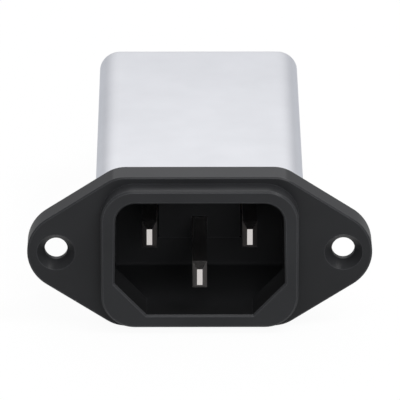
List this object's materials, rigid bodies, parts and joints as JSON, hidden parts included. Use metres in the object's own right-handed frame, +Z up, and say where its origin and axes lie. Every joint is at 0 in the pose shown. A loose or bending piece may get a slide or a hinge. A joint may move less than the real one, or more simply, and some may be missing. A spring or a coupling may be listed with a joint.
{
  "type": "c14 panel inlet socket with filter can",
  "caption": "Male appliance inlet for a panel: black flange with two countersunk ears, bevelled socket with flat pins, and a metal filter can behind with push-on tabs.",
  "frame": {"origin": "centre of the flange's back face, midway between the two screw holes, where the panel lies", "axes": "+Y back through the panel into the equipment, +Z up, +X to the right seen from the socket's front; the socket opens to -Y"},
  "size_m": [0.048, 0.0638, 0.0224],
  "materials": {
    "black_moulding": "satin moulded thermoplastic with a very fine grain",
    "plated_sheet": "plated sheet steel, even satin",
    "plated_contact": "nickel-plated brass, smooth",
    "plated_tab": "tin-plated brass, satin",
    "board_laminate": "glass-epoxy laminate with green resist",
    "insulating_film": "translucent polyester film",
    "capacitor_box": "yellow moulded box with resin base",
    "capacitor_disc": "blue epoxy dip over a ceramic disc",
    "ferrite": "dark grey sintered ferrite",
    "enamelled_wire": "enamelled copper",
    "fibre_card": "pressed insulating card",
    "resistor_lacquer": "lacquered resistor body on tinned wire",
    "bush_plastic": "black polyamide",
    "rivet_metal": "plated tubular rivet"
  },
  "bodies": {
    "root": {"inlet_moulding": "black_moulding", "line_pin": "plated_contact", "neutral_pin": "plated_contact", "earth_pin": "plated_contact", "filter_can": "plated_sheet", "earth_strap": "plated_tab", "can_liner": "insulating_film", "circuit_board": "board_laminate", "x_capacitor": "capacitor_box", "bleed_resistor": "resistor_lacquer", "choke_core": "ferrite", "line_winding": "enamelled_wire", "neutral_winding": "enamelled_wire", "choke_divider": "fibre_card", "line_y_capacitor": "capacitor_disc", "neutral_y_capacitor": "capacitor_disc", "line_tab": "plated_tab", "neutral_tab": "plated_tab", "line_tab_bush": "bush_plastic", "neutral_tab_bush": "bush_plastic", "earth_tab": "plated_tab", "earth_tab_rivet": "rivet_metal"}
  },
  "joints": []
}
